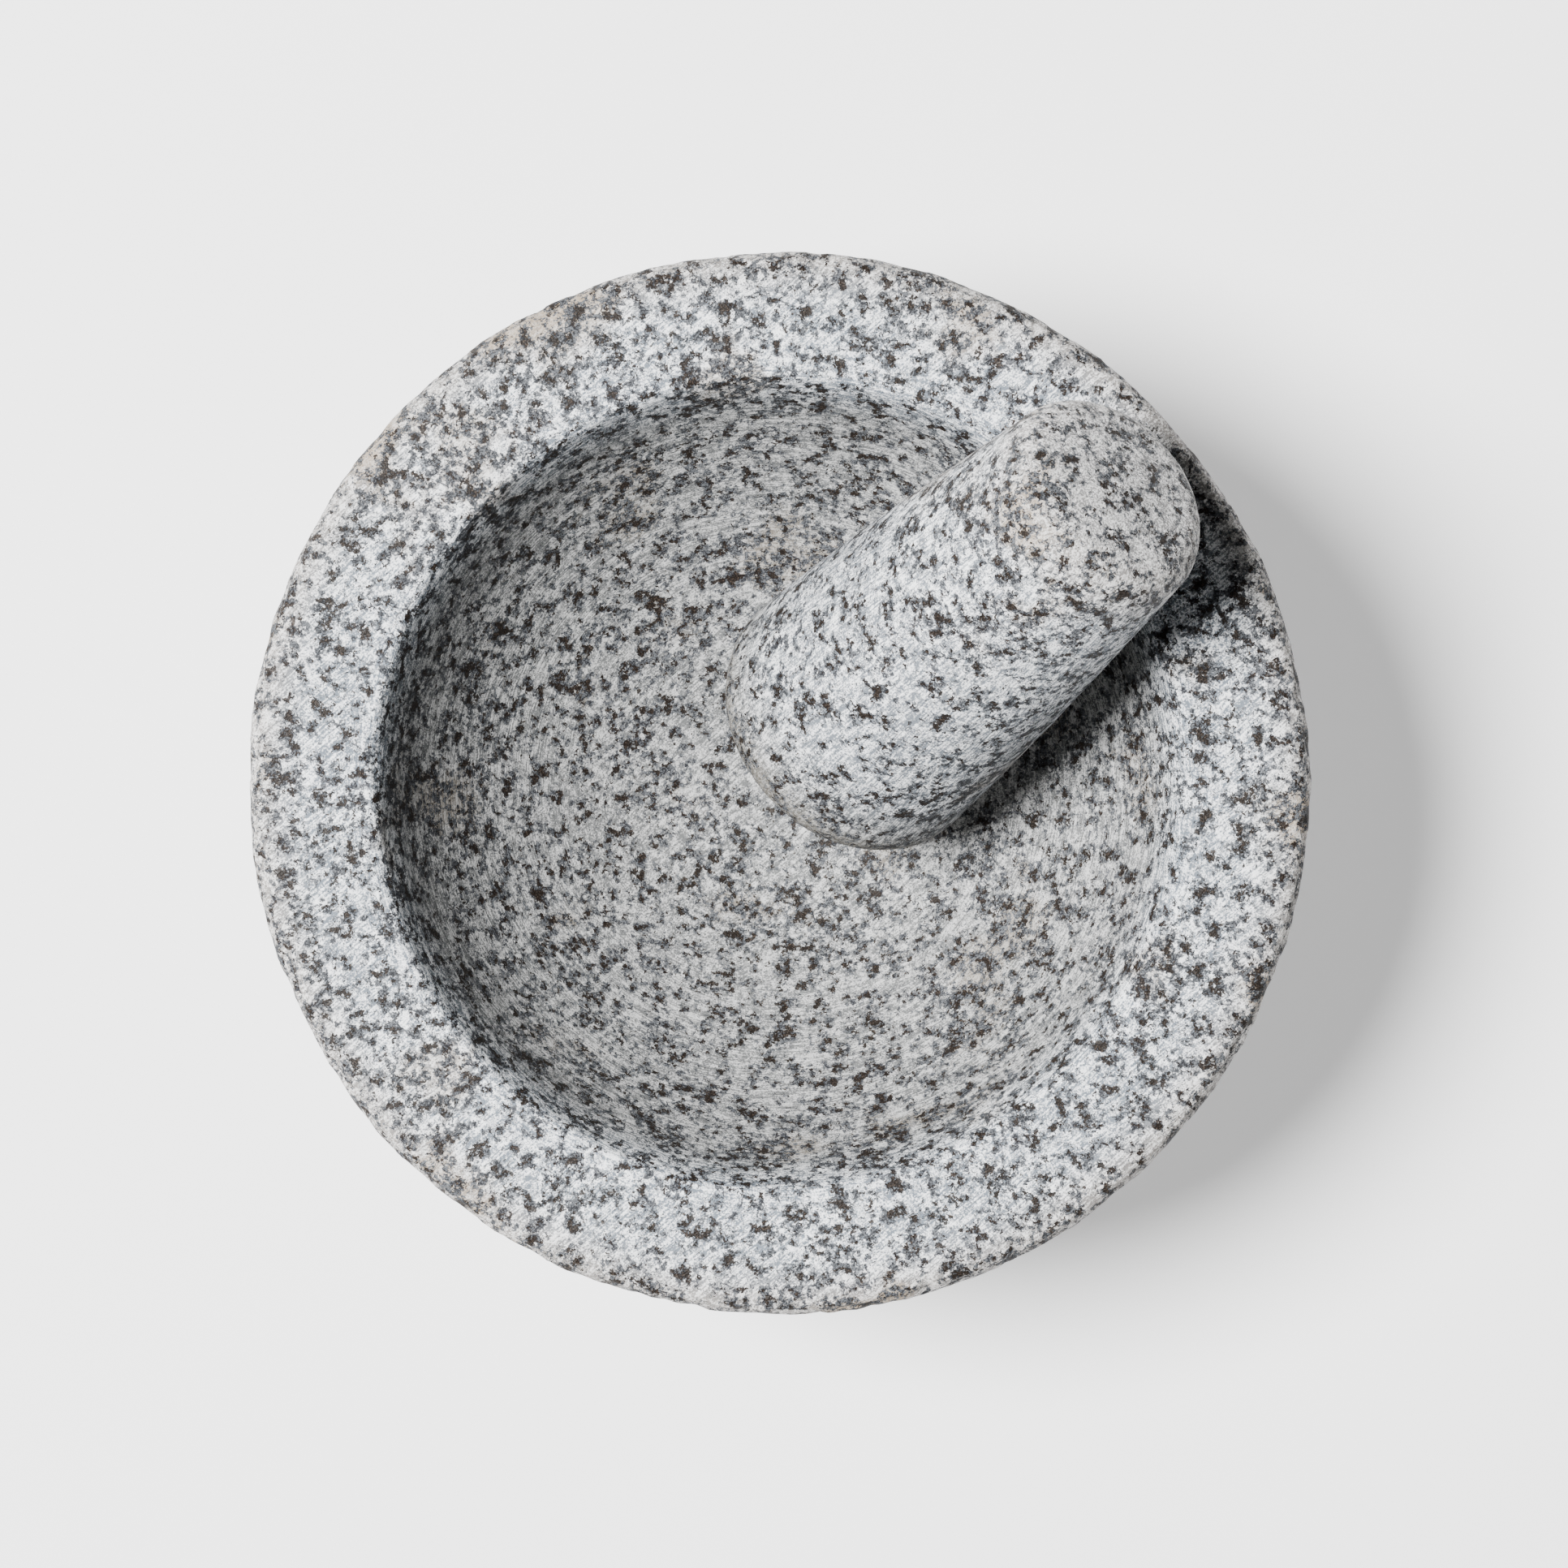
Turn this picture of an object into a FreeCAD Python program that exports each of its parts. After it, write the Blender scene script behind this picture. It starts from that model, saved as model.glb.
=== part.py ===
"""Molcajete: a wide-rimmed granite mortar with a short, stout granite pestle leaning in its bowl.

Both pieces are turned and then honed from solid granite. The origin is the centre of the mortar's
foot, on the surface it stands on, with +Z up. The pestle rests on the bowl's floor and on its lip.
Lengths are millimetres.
"""

import FreeCAD, Part

import math
import os

# Mortar: outside
RIM_RADIUS = 101.5
HEIGHT = 98.0
RIM_EDGE_RADIUS = 4.5
RIM_BAND = 15.0
RIM_UNDER_EDGE_RADIUS = 6.0
NECK_RADIUS = 89.0
NECK_HEIGHT = 70.0
NECK_COVE_RADIUS = 16.0
BELLY_RADIUS = 82.5
BELLY_HEIGHT = 36.0
FOOT_RADIUS = 64.0
FOOT_EDGE_RADIUS = 3.5

# Mortar: bowl
LIP_RADIUS = 76.3
LIP_EDGE_RADIUS = 2.5
BOWL_DEPTH = 58.0
WALL_ANGLE = 68.0

# Pestle: the wide grinding end is down, the narrower handling end is up
GRIND_RADIUS = 28.6
GRIND_DOME = 15.0
GRIND_EDGE_RADIUS = 9.5
SHAFT_LENGTH = 93.5
HANDLE_RADIUS = 20.3
HANDLE_EDGE_RADIUS = 6.5
HANDLE_CROWN = 2.0
SHAFT_BULGE = 0.6

# Pestle: how it leans, which leaves about half a millimetre at the bowl's floor and at its lip
LEAN = 47.4
LEAN_AZIMUTH = 41.0
DOME_CENTRE_OUT = 17.8
DOME_CENTRE_BELOW_RIM = 28.5

SAME_PLACE = 0.01


def on_profile(radius, height):
    """A point of a turned profile, in the XZ plane."""
    return FreeCAD.Vector(radius, 0, height)


def straight(start, end):
    return Part.LineSegment(start, end).toShape()


def arc(start, middle, end):
    return Part.Arc(start, middle, end).toShape()


def turn(edges):
    """The solid made by turning a closed profile about Z."""
    face = Part.Face(Part.Wire(edges))
    return face.revolve(FreeCAD.Vector(0, 0, 0), FreeCAD.Vector(0, 0, 1), 360)


def edges_at(solid, radius, height):
    """The circular edges of a turned solid that lie at a radius and a height."""
    found = []
    for edge in solid.Edges:
        if edge.Degenerated or not isinstance(edge.Curve, Part.Circle):
            continue
        right_size = abs(edge.Curve.Radius - radius) < SAME_PLACE
        right_place = abs(edge.Curve.Center.z - height) < SAME_PLACE
        if right_size and right_place:
            found.append(edge)
    return found


def bowl_arc():
    """The bowl's floor as a circle tangent to its wall: its radius, centre height and top."""
    # The wall falls from the lip at WALL_ANGLE and meets the floor arc where the arc has that slope.
    slope = math.radians(WALL_ANGLE)
    # At the join, r = R sin(slope) and z = centre - R cos(slope); the arc's bottom is centre - R.
    # Along the wall, z = HEIGHT - (LIP_RADIUS - r) tan(slope). Both hold for one R only.
    rise = LIP_RADIUS * math.tan(slope) - BOWL_DEPTH
    radius = rise / (math.sin(slope) * math.tan(slope) + math.cos(slope) - 1)
    centre = HEIGHT - BOWL_DEPTH + radius
    join = on_profile(radius * math.sin(slope), centre - radius * math.cos(slope))
    return radius, centre, join


def build_mortar():
    radius, centre, join = bowl_arc()
    floor = on_profile(0, HEIGHT - BOWL_DEPTH)
    half_way = math.radians(WALL_ANGLE / 2)
    floor_middle = on_profile(radius * math.sin(half_way), centre - radius * math.cos(half_way))
    lip = on_profile(LIP_RADIUS, HEIGHT)
    rim_top = on_profile(RIM_RADIUS, HEIGHT)
    rim_under = on_profile(RIM_RADIUS, HEIGHT - RIM_BAND)
    neck = on_profile(NECK_RADIUS, NECK_HEIGHT)
    belly = on_profile(BELLY_RADIUS, BELLY_HEIGHT)
    foot = on_profile(FOOT_RADIUS, 0)
    bottom = on_profile(0, 0)
    solid = turn([
        arc(floor, floor_middle, join),
        straight(join, lip),
        straight(lip, rim_top),
        straight(rim_top, rim_under),
        straight(rim_under, neck),
        arc(neck, belly, foot),
        straight(foot, bottom),
        straight(bottom, floor),
    ])
    solid = solid.makeFillet(RIM_UNDER_EDGE_RADIUS, edges_at(solid, RIM_RADIUS, HEIGHT - RIM_BAND))
    solid = solid.makeFillet(RIM_EDGE_RADIUS, edges_at(solid, RIM_RADIUS, HEIGHT))
    solid = solid.makeFillet(NECK_COVE_RADIUS, edges_at(solid, NECK_RADIUS, NECK_HEIGHT))
    solid = solid.makeFillet(FOOT_EDGE_RADIUS, edges_at(solid, FOOT_RADIUS, 0))
    return solid.makeFillet(LIP_EDGE_RADIUS, edges_at(solid, LIP_RADIUS, HEIGHT))


def build_pestle():
    """The pestle upright, with the base circle of its grinding dome on the XY plane."""
    dome_radius = (GRIND_RADIUS ** 2 + GRIND_DOME ** 2) / (2 * GRIND_DOME)
    half_span = math.asin(GRIND_RADIUS / dome_radius) / 2
    dome_centre = dome_radius - GRIND_DOME
    tip = on_profile(0, -GRIND_DOME)
    dome_middle = on_profile(
        dome_radius * math.sin(half_span),
        dome_centre - dome_radius * math.cos(half_span),
    )
    widest = on_profile(GRIND_RADIUS, 0)
    shaft_middle = on_profile(
        (GRIND_RADIUS + HANDLE_RADIUS) / 2 + SHAFT_BULGE,
        SHAFT_LENGTH / 2,
    )
    shoulder = on_profile(HANDLE_RADIUS, SHAFT_LENGTH)
    crown_radius = (HANDLE_RADIUS ** 2 + HANDLE_CROWN ** 2) / (2 * HANDLE_CROWN)
    crown_middle = on_profile(
        HANDLE_RADIUS / 2,
        SHAFT_LENGTH + HANDLE_CROWN - crown_radius + math.sqrt(crown_radius ** 2 - HANDLE_RADIUS ** 2 / 4),
    )
    crown = on_profile(0, SHAFT_LENGTH + HANDLE_CROWN)
    solid = turn([
        arc(tip, dome_middle, widest),
        arc(widest, shaft_middle, shoulder),
        arc(shoulder, crown_middle, crown),
        straight(crown, tip),
    ])
    solid = solid.makeFillet(HANDLE_EDGE_RADIUS, edges_at(solid, HANDLE_RADIUS, SHAFT_LENGTH))
    return solid.makeFillet(GRIND_EDGE_RADIUS, edges_at(solid, GRIND_RADIUS, 0))


def lean_pestle(pestle):
    """Tip the upright pestle over and set its dome in the bowl."""
    azimuth = math.radians(LEAN_AZIMUTH)
    pestle.rotate(FreeCAD.Vector(0, 0, 0), FreeCAD.Vector(0, 1, 0), 90 - LEAN)
    pestle.rotate(FreeCAD.Vector(0, 0, 0), FreeCAD.Vector(0, 0, 1), LEAN_AZIMUTH)
    pestle.translate(FreeCAD.Vector(
        DOME_CENTRE_OUT * math.cos(azimuth),
        DOME_CENTRE_OUT * math.sin(azimuth),
        HEIGHT - DOME_CENTRE_BELOW_RIM,
    ))
    return pestle


os.makedirs("parts", exist_ok=True)
mortar = build_mortar()
pestle = lean_pestle(build_pestle())
mortar.exportStep("parts/mortar.step")
pestle.exportStep("parts/pestle.step")

# The pestle comes close to the mortar in two places: at the lip, and lower down in the bowl.
reach = 2 * RIM_RADIUS
corner = FreeCAD.Vector(-RIM_RADIUS, -RIM_RADIUS, 0)
lower_bowl = mortar.common(Part.makeBox(reach, reach, HEIGHT - RIM_BAND, corner))
for place, stone in (("lip", mortar), ("floor", lower_bowl)):
    gap, nearest, _ = stone.distToShape(pestle)
    print(place, "gap", round(gap, 2), "mm at", [round(value, 1) for value in nearest[0][0]])
foot_flat = [face for face in mortar.Faces if face.BoundBox.ZMax < SAME_PLACE][0]
print("foot flat", round(foot_flat.BoundBox.XLength, 1), "mm across")
print("mortar", round(mortar.Volume), "mm3; pestle", round(pestle.Volume), "mm3")
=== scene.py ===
# %% [markdown]
# # A granite molcajete
#
# A molcajete is a stone mortar for grinding by hand, and its pestle is called a tejolote. This one
# is turned from speckled granite: a wide flat rim, a deep round bowl and a short, stout pestle that
# leans in the bowl with its wide grinding end down. Both pieces are plain turned stone, so this
# lesson is mostly about two things: making a shape that looks cut from rock rather than moulded,
# and building a granite that holds up close to.

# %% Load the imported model
import math

import bmesh
import bpy
from mathutils import Matrix, Vector, noise


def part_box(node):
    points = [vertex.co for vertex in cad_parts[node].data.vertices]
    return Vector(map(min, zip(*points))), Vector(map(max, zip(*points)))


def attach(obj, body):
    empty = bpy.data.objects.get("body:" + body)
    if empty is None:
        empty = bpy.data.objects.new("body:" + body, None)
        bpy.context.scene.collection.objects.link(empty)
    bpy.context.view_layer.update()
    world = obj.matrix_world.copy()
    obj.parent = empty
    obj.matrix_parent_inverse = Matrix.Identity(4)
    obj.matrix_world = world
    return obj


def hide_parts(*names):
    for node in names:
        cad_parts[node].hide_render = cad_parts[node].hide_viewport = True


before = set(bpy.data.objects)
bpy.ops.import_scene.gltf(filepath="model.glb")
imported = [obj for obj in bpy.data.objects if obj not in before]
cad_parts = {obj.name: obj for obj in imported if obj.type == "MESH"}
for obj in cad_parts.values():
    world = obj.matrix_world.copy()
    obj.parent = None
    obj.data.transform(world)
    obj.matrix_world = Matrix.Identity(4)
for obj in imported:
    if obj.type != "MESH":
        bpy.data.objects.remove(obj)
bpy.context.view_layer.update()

MM = 0.001
mortar_low, mortar_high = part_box("mortar")
rim_radius = (mortar_high.x - mortar_low.x) / 2
height = mortar_high.z
print("mortar", round(rim_radius * 2 / MM, 1), "mm across,", round(height / MM, 1), "mm high")


# %% [markdown]
# ## An outline with rounded corners
#
# A turned piece is drawn as half of its outline and spun about its axis. The outline could be a
# long list of points, but a mason thinks in straight faces that meet at eased corners. So each
# outline here is a few corners, each with the radius that it is eased to. The bevel operator rounds
# a corner of a wire as well as an edge of a solid, and its offset is the length of the tangent,
# which is the radius times the tangent of half the turn. Away from a right angle the rounding is
# part of an ellipse, so a corner as large as the bowl's is about a millimetre off a true arc.

# %% Outline helper
def turn_at(corner):
    """How far a wire turns at a vertex with two edges, in radians."""
    before, after = [edge.other_vert(corner).co - corner.co for edge in corner.link_edges]
    return math.pi - before.angle(after)


def draw_outline(corners, spacing):
    """A wire in the XZ plane through (x, z, corner radius, spacing factor), points evenly spaced."""
    wire = bmesh.new()
    points = []
    for x, z, _, _ in corners:
        points.append(wire.verts.new((x, 0, z)))
    factor_of = {}
    for first, second, (_, _, _, factor) in zip(points, points[1:], corners):
        factor_of[wire.edges.new((first, second))] = factor
    for point, (_, _, radius, factor) in zip(points, corners):
        if radius > 0:
            turn = turn_at(point)
            steps = max(3, round(radius * turn / (spacing * factor)))
            bmesh.ops.bevel(
                wire, geom=[point], affect="VERTICES", offset=radius * math.tan(turn / 2),
                offset_type="OFFSET", segments=steps, profile=0.5, material=-1,
            )
    for edge in wire.edges[:]:
        cuts = round(edge.calc_length() / (spacing * factor_of.get(edge, 1))) - 1
        if cuts > 0:
            bmesh.ops.subdivide_edges(wire, edges=[edge], cuts=cuts)
    return wire


# %% [markdown]
# ## Turning the outline
#
# One full spin in hundreds of steps is slow, because every step looks through all that is made so
# far. So the outline is spun through a tenth of a turn, and that slice is repeated nine times by a
# second spin that copies it. Slices meet in double points, and the outline's two ends on the axis
# become many points in one place. Merging them closes the shell, and the normals are worked out
# again afterwards, because a spin can come out inside out.

# %% Turning helper
SLICES = 10


def turn_solid(wire, steps_a_slice):
    """The closed shell that a wire sweeps in a full turn about Z."""
    axis = {"cent": (0, 0, 0), "axis": (0, 0, 1)}
    slice_angle = math.tau / SLICES
    outline = wire.verts[:] + wire.edges[:]
    bmesh.ops.spin(wire, geom=outline, angle=slice_angle, steps=steps_a_slice, **axis)
    first_slice = wire.verts[:] + wire.edges[:] + wire.faces[:]
    bmesh.ops.spin(
        wire, geom=first_slice, angle=math.tau - slice_angle, steps=SLICES - 1,
        use_duplicate=True, **axis,
    )
    bmesh.ops.remove_doubles(wire, verts=wire.verts, dist=0.005 * MM)
    loose = [edge for edge in wire.edges if not edge.link_faces]
    bmesh.ops.delete(wire, geom=loose, context="EDGES")
    bmesh.ops.recalc_face_normals(wire, faces=wire.faces)
    open_edges = [edge for edge in wire.edges if len(edge.link_faces) != 2]
    print("turned", len(wire.verts), "points,", len(open_edges), "open edges")
    return wire


# %% [markdown]
# ## The mortar's outline
#
# The bowl is cut as one sweep: its floor and its wall are two straight lines in the outline, and a
# very large corner radius between them is the bowl's round floor. The rim is a flat ring with a
# crisp inner lip and an eased outer edge, and the outside tucks in under it to a flat foot.

# %% Mortar outline
lip_radius = 76.3 * MM
bowl_depth = 58 * MM
wall_angle = math.radians(68)
lip_ease = 2.5 * MM
rim_ease = 4.5 * MM
rim_band = 15 * MM
rim_under_ease = 6 * MM
neck_radius = 89 * MM
neck_below_rim = 28 * MM
neck_cove = 16 * MM
belly_height = 33 * MM
belly_round = 60 * MM
foot_ease = 3.5 * MM
floor_corner = lip_radius - bowl_depth / math.tan(wall_angle)
floor_radius = floor_corner / math.tan(wall_angle / 2)
foot_radius = 64 * MM
belly_corner = 83.5 * MM

# How far apart the outline's points are, as shares of its spacing.
FINE = 0.8
MIDDLE = 1.15
COARSE = 3.5
# A corner's rounding stops just short of using up the whole edge beside it.
NEARLY_ALL = 0.999
mortar_corners = [
    (0, height - bowl_depth, 0, MIDDLE),
    (floor_corner, height - bowl_depth, floor_radius * NEARLY_ALL, MIDDLE),
    (lip_radius, height, lip_ease, FINE),
    (rim_radius, height, rim_ease, FINE),
    (rim_radius, height - rim_band, rim_under_ease, MIDDLE),
    (neck_radius, height - neck_below_rim, neck_cove, MIDDLE),
    (belly_corner, belly_height, belly_round, MIDDLE),
    (foot_radius, 0, foot_ease, COARSE),
    (0, 0, 0, COARSE),
]
MORTAR_SPACING = 1.3 * MM
MORTAR_STEPS_A_SLICE = 45
mortar_mesh = turn_solid(draw_outline(mortar_corners, MORTAR_SPACING), MORTAR_STEPS_A_SLICE)
print("bowl floor radius", round(floor_radius / MM, 1), "mm")


# %% [markdown]
# ## Making it stone
#
# A honed stone face is never a perfect surface of revolution. It wanders by a few tenths of a
# millimetre, its corners lose small flakes, and soft grains pull out and leave pits. A displacement
# texture could do it, but moving each point along its normal in code lets every part of the piece
# have its own finish: the rim is honed, the bowl is worn, and the outside is picked with a point.
# The same function also says how weathered and rough each point is, how far food has stained it
# with painted shade laid over the stain, and how far a turning tool ringed it, and those four
# numbers stay on the points as masks for the material.

# %% Noise helpers
def ripple(place, size, seed):
    """Smooth noise from about -1 to 1 whose lumps are about one size across."""
    return noise.noise(place / size + Vector((seed * 7.3, seed * 3.1, seed * 5.7)))


def above(value, start, full):
    """0 up to start, rising smoothly to 1 at full."""
    share = min(max((value - start) / (full - start), 0), 1)
    return share * share * (3 - 2 * share)


def near(distance, reach):
    """1 at a corner, fading out over a reach."""
    return math.exp(-(distance / reach) ** 2)


def flakes(place, size, seed):
    """0 on most of a surface and up to 1 where a flake has come away."""
    return above(ripple(place, size, seed) + 0.35 * ripple(place, size / 2.7, seed + 1), 0.2, 0.75)


def pits(place, seed):
    """0 on most of a surface and up to 1 where a soft grain has pulled out."""
    return above(ripple(place, 2.4 * MM, seed), 0.42, 0.8)


# %% Mortar surface
def mortar_finish(place, normal):
    """How far a point moves along its normal, and its four masks in the order of MASKS."""
    radius = math.hypot(place.x, place.y)
    outward = (place.x * normal.x + place.y * normal.y) / max(radius, MM)
    rim_edge = math.hypot(radius - (rim_radius - 1.3 * MM), place.z - (height - 1.3 * MM))
    lip_edge = math.hypot(radius - (lip_radius + 0.7 * MM), place.z - (height - 0.7 * MM))
    outside = above(outward, 0.1, 0.8) if place.z < height - 1 * MM else 0
    if normal.z < -0.2:
        outside = 1
    bowl = above(-outward, 0.05, 0.3) if radius < lip_radius else 0
    if radius < lip_radius and normal.z > 0.5 and place.z < height - 5 * MM:
        bowl = 1
    move = 0.14 * MM * ripple(place, 42 * MM, 1) - 0.05 * MM * near(lip_edge, 6 * MM)
    move += 0.05 * MM * ripple(place, 9 * MM, 2)
    # The bowl is worn down, which also keeps it clear of the resting pestle.
    if bowl > 0:
        move += bowl * MM * (0.20 * ripple(place, 16 * MM, 3) - 0.35)
        move += bowl * 0.12 * MM * ripple(place, 4.5 * MM, 4)
    if outside > 0:
        picked = 0.40 * ripple(place, 21 * MM, 5) + 0.30 * ripple(place, 6 * MM, 6)
        picked += 0.22 * ripple(place, 2.8 * MM, 7)
        move += outside * MM * (picked - 0.5)
    if rim_edge < 10 * MM:
        move -= 1.3 * MM * near(rim_edge, 3.6 * MM) * flakes(place, 8 * MM, 10)
        move -= 0.5 * MM * near(rim_edge, 3.0 * MM) * flakes(place, 3.2 * MM, 12)
        move -= 0.3 * MM * near(rim_edge, 3.4 * MM) * (0.5 + ripple(place, 2.7 * MM, 13))
    if lip_edge < 8 * MM:
        move -= 0.7 * MM * near(lip_edge, 2.6 * MM) * flakes(place, 6 * MM, 14)
        move -= 0.35 * MM * near(lip_edge, 2.2 * MM) * flakes(place, 3 * MM, 16)
    move -= 0.30 * MM * pits(place, 18) * (0.6 + 0.4 * max(outside, bowl))
    # The foot only loses stone, so that the piece still stands on the floor.
    if place.z < 2 * MM:
        move = -0.3 * abs(move)
    weathered = max(near(rim_edge, 6 * MM), 0.75 * outside)
    rough = max(outside, 0.6 * bowl, 0.7 * near(lip_edge, 3 * MM))
    # The bowl goes darker and olive from the lip to 14 mm below it: partly a food stain, partly painted
    # shade and a painted reflection of food.
    seasoning_and_painted_shade = bowl * above(height - place.z, 0, 14 * MM)
    ringed = max(near(lip_edge, 5 * MM), bowl * above(0.95 - normal.z, 0, 0.2))
    return move, weathered, rough, seasoning_and_painted_shade, ringed


# %% Putting a finish on a turned piece
MASKS = ("weathered", "rough", "seasoning_and_painted_shade", "ringed")


def weather(mesh, finish):
    """Moves each point of a bmesh by finish(place, normal) and keeps its masks on the points."""
    mesh.normal_update()
    for name in MASKS:
        mesh.verts.layers.float.new(name)
    layers = [mesh.verts.layers.float[name] for name in MASKS]
    moves = []
    for point in mesh.verts:
        move, *shares = finish(point.co, point.normal)
        for layer, share in zip(layers, shares):
            point[layer] = share
        moves.append((point, point.normal * move))
    for point, step in moves:
        point.co += step
    lengths = [step.length for _, step in moves]
    print("moved up to", round(max(lengths) / MM, 2), "mm")


def as_piece(mesh, name):
    """An object at the origin that holds a bmesh, which is freed."""
    data = bpy.data.meshes.new(name)
    mesh.to_mesh(data)
    mesh.free()
    data.shade_smooth()
    piece = bpy.data.objects.new(name, data)
    bpy.context.collection.objects.link(piece)
    triangles = sum(len(face.vertices) - 2 for face in data.polygons)
    print(name, len(data.vertices), "points,", triangles, "triangles")
    return piece


weather(mortar_mesh, mortar_finish)
mortar_stone = as_piece(mortar_mesh, "mortar_stone")


# %% [markdown]
# ## The pestle
#
# The pestle tapers from a wide grinding end, a shallow dome that fits the bowl's curve, to a
# narrower end with soft shoulders that fills the palm. It is drawn upright with the dome's base at
# the origin, finished, and only then tipped over to where it leans, so that its hone marks and
# flaked shoulders belong to its own axis.

# %% Pestle outline
grind_radius = 28.6 * MM
grind_dome = 15 * MM
shaft_length = 93.5 * MM
handle_radius = 20.3 * MM
handle_crown = 2 * MM
handle_ease = 6.5 * MM
shaft_bulge = 0.6 * MM
shaft_round = 400 * MM
dome_radius = (grind_radius ** 2 + grind_dome ** 2) / (2 * grind_dome)
# The dome runs out to this slope, where the rounding of the heel takes over.
dome_span = math.radians(48.4)
heel_half_turn = math.radians(22.6)
heel_ease = 9.5 * MM
dome_corner = dome_radius * math.tan(dome_span / 2)
heel_away = dome_corner + heel_ease * math.tan(heel_half_turn)
heel_out = dome_corner + heel_away * math.cos(dome_span)
heel_up = heel_away * math.sin(dome_span) - grind_dome

# The dome and the heel share one edge, so each rounding is a little short of full.
SHORT_OF_FULL = 0.995
PESTLE_SPACING = 0.95 * MM
PESTLE_STEPS_A_SLICE = 24
pestle_corners = [
    (0, -grind_dome, 0, 1),
    (dome_corner, -grind_dome, dome_radius * SHORT_OF_FULL, 1),
    (heel_out, heel_up, heel_ease * SHORT_OF_FULL, 1),
    ((grind_radius + handle_radius) / 2 + shaft_bulge, shaft_length / 2, shaft_round, 1),
    (handle_radius, shaft_length, handle_ease, 1),
    (0, shaft_length + handle_crown, 0, 1),
]
pestle_mesh = turn_solid(draw_outline(pestle_corners, PESTLE_SPACING), PESTLE_STEPS_A_SLICE)


# %% Pestle surface
def pestle_finish(place, normal):
    """The same for the upright pestle, which no turning tool has ringed."""
    shoulder = math.hypot(
        math.hypot(place.x, place.y) - (handle_radius - 2.5 * MM),
        place.z - (shaft_length - 2.5 * MM),
    )
    heel = abs(place.z - 1 * MM)
    end = above(abs(normal.z), 0.5, 0.95)
    along = Vector((place.x, place.y, place.z * 0.4))
    grinding_end = above(-place.z, -20 * MM, 0)
    move = MM * (0.22 * ripple(along, 15 * MM, 21) + 0.05 - 0.35 * grinding_end)
    move += 0.12 * MM * ripple(along, 6 * MM, 22)
    move += 0.04 * MM * ripple(place, 2.2 * MM, 23)
    if shoulder < 12 * MM:
        move -= 0.45 * MM * near(shoulder, 4 * MM) * flakes(place, 6 * MM, 24)
    if heel < 12 * MM:
        move -= 0.35 * MM * near(heel, 4 * MM) * flakes(place, 5 * MM, 26)
    move -= 0.25 * MM * pits(place, 28)
    weathered = max(0.9 * near(shoulder, 9 * MM), 0.7 * end * above(place.z, 0, shaft_length), 0.15)
    rough = max(0.5 * end, 0.4 * near(heel, 6 * MM))
    # The grinding end goes darker and olive in the same way: a food stain with painted shade where it sits
    # in the bowl.
    seasoning_and_painted_shade = above(-place.z, -20 * MM, 0) + 0.5 * above(-place.z, -7 * MM, 1 * MM)
    return move, weathered, rough, seasoning_and_painted_shade, 0


weather(pestle_mesh, pestle_finish)

# %% Leaning the pestle in the bowl
lean = math.radians(47.4)
lean_azimuth = math.radians(41)
dome_out = 17.8 * MM
dome_below_rim = 28.5 * MM
lie = Matrix.Rotation(lean_azimuth, 4, "Z") @ Matrix.Rotation(math.pi / 2 - lean, 4, "Y")
place_in_bowl = Vector((
    dome_out * math.cos(lean_azimuth), dome_out * math.sin(lean_azimuth), height - dome_below_rim,
))
leaned = Matrix.Translation(place_in_bowl) @ lie
bmesh.ops.transform(pestle_mesh, matrix=leaned, verts=pestle_mesh.verts)
pestle_stone = as_piece(pestle_mesh, "pestle_stone")


# %% [markdown]
# ## A small language for shader maths
#
# Granite takes a lot of arithmetic on noise, and a page of Math nodes hides what it does. So a
# socket is wrapped in a class whose operators add the nodes, and the sums below read as sums. Any
# other node comes from one method, which sets the node's own settings before its sockets.

# %% Socket arithmetic
class Value:
    """A number that changes over the surface."""

    def __init__(self, paint, socket):
        self.paint = paint
        self.socket = socket

    def maths(self, operation, first, second):
        made = self.paint.node("Math", {"operation": operation}, {0: first, 1: second})
        return Value(self.paint, made.outputs[0])

    def __add__(self, other):
        return self.maths("ADD", self, other)

    def __sub__(self, other):
        return self.maths("SUBTRACT", self, other)

    def __mul__(self, other):
        return self.maths("MULTIPLY", self, other)

    def __rsub__(self, other):
        return self.maths("SUBTRACT", other, self)

    __radd__ = __add__
    __rmul__ = __mul__

    def over(self, start, full):
        """0 up to start, rising smoothly to 1 at full."""
        settings = {"interpolation_type": "SMOOTHSTEP"}
        made = self.paint.node("MapRange", settings, {"Value": self, "From Min": start, "From Max": full})
        return Value(self.paint, made.outputs["Result"])


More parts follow.
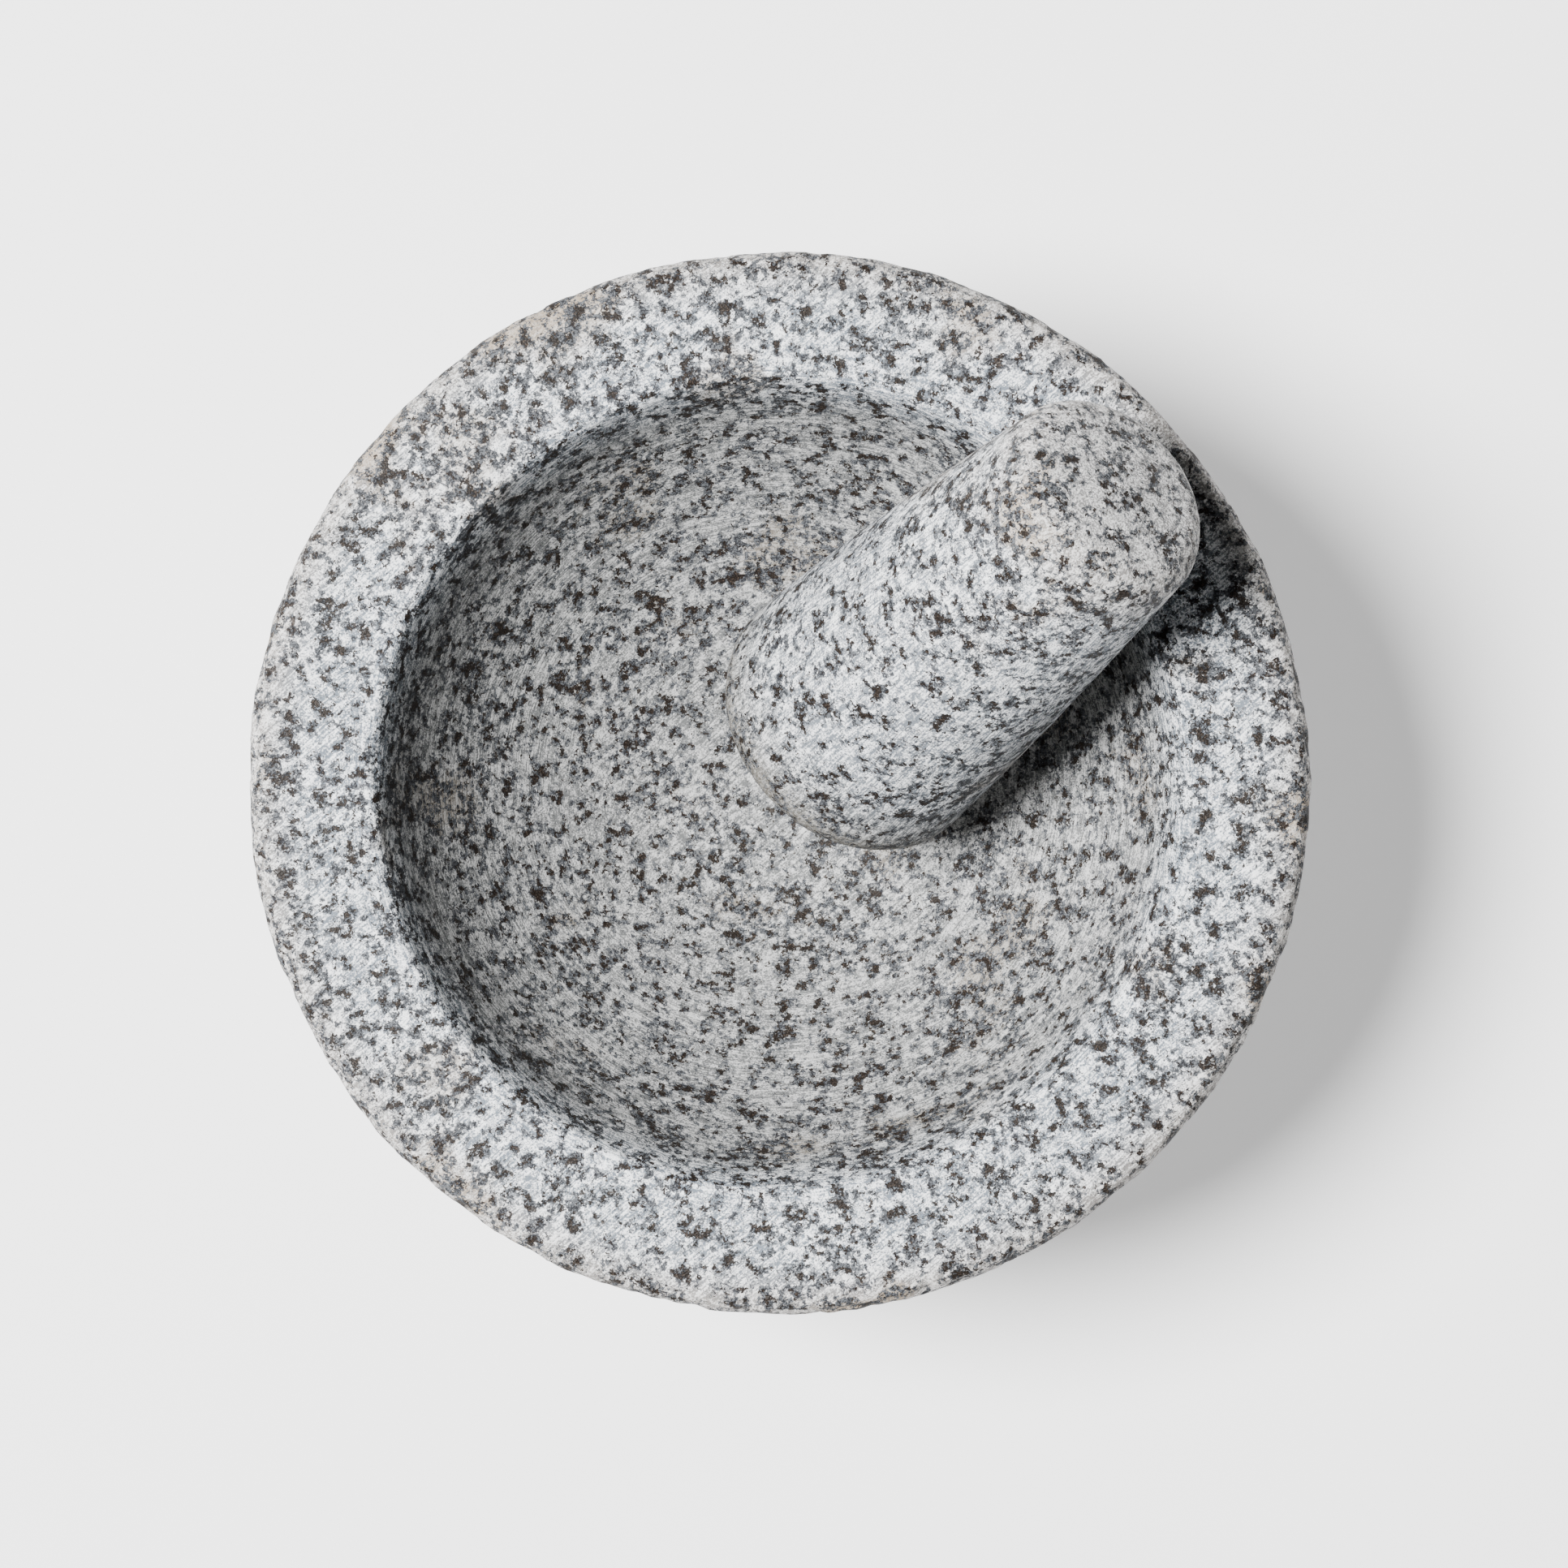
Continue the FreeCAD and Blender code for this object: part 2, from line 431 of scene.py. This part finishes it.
class Paint:
    """The nodes of one material."""

    def __init__(self, name):
        self.material = bpy.data.materials.new(name)
        self.material.use_nodes = True
        self.tree = self.material.node_tree
        self.shader = self.tree.nodes["Principled BSDF"]
        self.object_place = self.node("TexCoord", {}, {}).outputs["Object"]

    def feed(self, socket, value):
        if isinstance(value, Value):
            self.tree.links.new(value.socket, socket)
        elif isinstance(value, bpy.types.NodeSocket):
            self.tree.links.new(value, socket)
        else:
            socket.default_value = value

    def node(self, kind, settings, sockets):
        made = self.tree.nodes.new("ShaderNode" + kind)
        for key, value in settings.items():
            setattr(made, key, value)
        for key, value in sockets.items():
            self.feed(made.inputs[key], value)
        return made

    def turned(self, place, turns, scale):
        """A place turned by each set of three angles in order, then stretched by three factors."""
        for angles in turns:
            place = self.node("Mapping", {}, {"Vector": place, "Rotation": angles}).outputs[0]
        return self.node("Mapping", {}, {"Vector": place, "Scale": scale}).outputs[0]

    def cloud(self, place, size, detail, seed):
        """Noise whose lumps are about one size across."""
        away = (seed * 0.37, seed * 0.19, seed * 0.53)
        shifted = self.node("Mapping", {}, {"Vector": place, "Location": away})
        sockets = {"Vector": shifted.outputs[0], "Scale": 1 / size, "Detail": detail, "Roughness": 0.62}
        return Value(self, self.node("TexNoise", {}, sockets).outputs[0])

    def streaks(self, place):
        """Noise on a place that is already stretched."""
        sockets = {"Vector": place, "Scale": 1.0, "Detail": 1.0}
        return Value(self, self.node("TexNoise", {}, sockets).outputs[0])

    def rings(self, place, scale):
        """A place measured from the Z axis, so that a pattern runs round it as a turning tool does."""
        parts = self.node("SeparateXYZ", {}, {0: place}).outputs
        level = self.node("CombineXYZ", {}, {0: parts[0], 1: parts[1]}).outputs[0]
        radius = Value(self, self.node("VectorMath", {"operation": "LENGTH"}, {0: level}).outputs["Value"])
        scratches_round = 190
        around = Value(self, parts[0]) * scratches_round
        across = Value(self, parts[1]) * scratches_round
        depth = (radius + Value(self, parts[2])) * scale
        return self.node("CombineXYZ", {}, {0: around, 1: across, 2: depth}).outputs[0]

    def mark(self, name):
        """One of the masks that the piece carries on its points."""
        made = self.node("Attribute", {"attribute_type": "GEOMETRY", "attribute_name": name}, {})
        return Value(self, made.outputs["Fac"])

    def blend(self, share, first, second):
        """A colour between two colours."""
        made = self.node("Mix", {"data_type": "RGBA"}, {"Factor": share, 6: first, 7: second})
        return made.outputs[2]


print("shader helpers ready")


# %% [markdown]
# ## Granite
#
# Granite is a tight jigsaw of three minerals. Feldspar is the milky white ground, quartz is the
# cool, half-clear grey in it, and biotite is the brown-black fleck, a millimetre to four across and
# gathered in loose clusters. An image texture would be the quick way, but it would stretch on a
# round piece. A solid pattern that is worked out in space cuts through the stone as the real
# one does, so the flecks meet round every corner. The masks then add what use and tools leave: rust
# where it is weathered, an olive stain where food has left its seasoning, and fine scratches that
# run straight on the rim and the shaft but in rings where a turning tool cut. The olive stain is
# also painted shade and a painted reflection of food: it darkens the bowl from the lip down and
# the pestle's grinding end.

# %% Granite colours
FELDSPAR = (0.955, 0.97, 0.985, 1)
QUARTZ = (0.15, 0.175, 0.205, 1)
ASH = (0.115, 0.122, 0.132, 1)
SLATE = (0.020, 0.021, 0.024, 1)
BIOTITE = (0.010, 0.007, 0.005, 1)
MICA = (0.060, 0.042, 0.030, 1)
RUST = (0.31, 0.24, 0.165, 1)
# Olive for a food stain, and for painted shade and a painted reflection of food in the bowl.
OLIVE_STAIN_AND_SHADE = (0.10, 0.082, 0.052, 1)

# Scratches a metre along and across the way a stone was honed, and across the bowl's rings.
STRAIGHT_SCRATCHES = (240, 2500, 2500)
RING_SCRATCHES = 2100


def granite(name, hone_turns, seed, spare):
    """Granite honed along one direction; spare raises the thresholds of its dark grains."""
    paint = Paint(name)
    place = paint.object_place
    weathered = paint.mark("weathered")
    rough = paint.mark("rough")
    seasoning_and_painted_shade = paint.mark("seasoning_and_painted_shade")
    ringed = paint.mark("ringed")

    wander = paint.node("TexNoise", {}, {"Vector": place, "Scale": 1 / (0.7 * MM), "Detail": 1.0})
    middle = (0.5, 0.5, 0.5)
    centred = paint.node("VectorMath", {"operation": "SUBTRACT"}, {0: wander.outputs["Color"], 1: middle})
    nudge = paint.node("VectorMath", {"operation": "SCALE"}, {0: centred.outputs[0], "Scale": 1.1 * MM})
    jagged = paint.node("VectorMath", {"operation": "ADD"}, {0: place, 1: nudge.outputs[0]}).outputs[0]

    sparkle = paint.cloud(place, 0.26 * MM, 0.0, seed + 6)
    grain = paint.cloud(place, 0.42 * MM, 1.0, seed)
    mottle = paint.cloud(jagged, 1.7 * MM, 2.0, seed + 1)
    drift = paint.cloud(place, 24 * MM, 1.0, seed + 2)
    cluster = paint.cloud(place, 3.6 * MM, 1.0, seed + 3)
    slate = paint.cloud(jagged, 1.15 * MM, 3.0, seed + 4)
    fleck = paint.cloud(jagged, 1.35 * MM, 3.0, seed + 5)
    straight = paint.streaks(paint.turned(place, hone_turns, STRAIGHT_SCRATCHES))
    round_bowl = paint.streaks(paint.rings(place, RING_SCRATCHES))
    hone = straight * (1 - ringed) + round_bowl * ringed

    ground = 0.6 * sparkle + grain + 0.9 * mottle + 0.3 * drift + 1.2 * hone
    white_share = ground.over(1.72, 2.30)
    slate_lumps = slate + 0.62 * cluster + 0.40 * grain + 0.2 * hone + 0.2 * drift
    slate_share = slate_lumps.over(1.19 + spare, 1.275 + spare)
    slate_tone = (0.5 * sparkle + grain + 0.6 * hone).over(0.92, 1.26)
    dark_share = (fleck + 0.62 * cluster + 0.25 * grain).over(1.03 + spare, 1.07 + spare)

    colour = paint.blend(white_share, QUARTZ, FELDSPAR)
    tan = (drift + 0.3 * cluster).over(0.71, 0.86) * 0.45 + weathered * 0.42
    colour = paint.blend(tan, colour, RUST)
    # Painted shade and a painted olive reflection of food, laid over the food stain.
    colour = paint.blend(seasoning_and_painted_shade * 0.5, colour, OLIVE_STAIN_AND_SHADE)
    colour = paint.blend(slate_share, colour, paint.blend(slate_tone, SLATE, ASH))
    dark_tone = paint.blend(sparkle.over(0.5, 0.85), BIOTITE, MICA)
    colour = paint.blend(dark_share * 0.95, colour, dark_tone)
    paint.feed(paint.shader.inputs["Base Color"], colour)

    dull = 0.62 + 0.12 * rough - 0.14 * dark_share
    paint.feed(paint.shader.inputs["Roughness"], dull)
    relief = 0.6 * grain + 0.6 * hone - 0.5 * dark_share - 0.2 * slate_share
    bump = paint.node("Bump", {}, {"Height": relief, "Strength": 0.8, "Distance": 0.25 * MM})
    paint.feed(paint.shader.inputs["Normal"], bump.outputs[0])
    paint.shader.inputs["Specular IOR Level"].default_value = 0.12
    print(name, len(paint.tree.nodes), "nodes")
    return paint.material


rim_hone = [(0, 0, -lean_azimuth)]
shaft_hone = [(0, 0, -lean_azimuth), (0, lean, 0)]
mortar_stone.data.materials.append(granite("mortar_granite", rim_hone, 0, 0.0))
pestle_stone.data.materials.append(granite("pestle_granite", shaft_hone, 9, 0.01))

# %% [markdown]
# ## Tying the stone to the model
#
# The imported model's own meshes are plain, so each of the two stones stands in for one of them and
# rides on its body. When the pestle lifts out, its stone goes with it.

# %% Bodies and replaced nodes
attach(mortar_stone, "mortar")
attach(pestle_stone, "pestle")
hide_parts("mortar")
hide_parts("pestle")

# %% [markdown]
# ## Floor, light and camera
#
# The stone stands on a plain pale floor. One large soft light stands high on the left, so the
# bowl's near wall falls into shade and the far wall catches it, and a dim white room keeps the
# shade open. The floor gives off a little light of its own, which keeps it pale. The camera looks
# straight down the bowl's axis.

# %% Floor
floor_mesh = bmesh.new()
bmesh.ops.create_grid(floor_mesh, x_segments=1, y_segments=1, size=3)
floor = as_piece(floor_mesh, "floor")
pale = Paint("pale_floor")
pale.shader.inputs["Base Color"].default_value = (0.93, 0.93, 0.93, 1)
pale.shader.inputs["Roughness"].default_value = 0.9
pale.shader.inputs["Emission Color"].default_value = (1, 1, 1, 1)
pale.shader.inputs["Emission Strength"].default_value = 0.5
floor.data.materials.append(pale.material)


# %% Lights
def soft_light(name, azimuth, elevation, distance, size, power):
    """An area light that faces the stone from an azimuth and an elevation."""
    lamp = bpy.data.lights.new(name, "AREA")
    lamp.shape = "DISK"
    lamp.size = size
    lamp.energy = power
    level = Vector((math.cos(azimuth), math.sin(azimuth), 0))
    direction = level * math.cos(elevation) + Vector((0, 0, math.sin(elevation)))
    holder = bpy.data.objects.new(name, lamp)
    holder.location = direction * distance
    holder.rotation_euler = direction.to_track_quat("Z", "Y").to_euler()
    bpy.context.collection.objects.link(holder)


window_azimuth = math.radians(172)
window_elevation = math.radians(63)
soft_light("window", window_azimuth, window_elevation, distance=2.5, size=0.95, power=240)
world = bpy.data.worlds.new("room")
world.use_nodes = True
world.node_tree.nodes["Background"].inputs["Color"].default_value = (1, 1, 1, 1)
world.node_tree.nodes["Background"].inputs["Strength"].default_value = 0.08
bpy.context.scene.world = world

# %% Camera
camera_above_rim = 0.9
view_width = 296.7 * MM
camera_data = bpy.data.cameras.new("camera")
camera_data.lens = camera_data.sensor_width * camera_above_rim / view_width
camera = bpy.data.objects.new("camera", camera_data)
camera.location = (0.9 * MM, -0.2 * MM, height + camera_above_rim)
bpy.context.collection.objects.link(camera)
bpy.context.scene.camera = camera
print("lens", round(camera_data.lens), "mm")
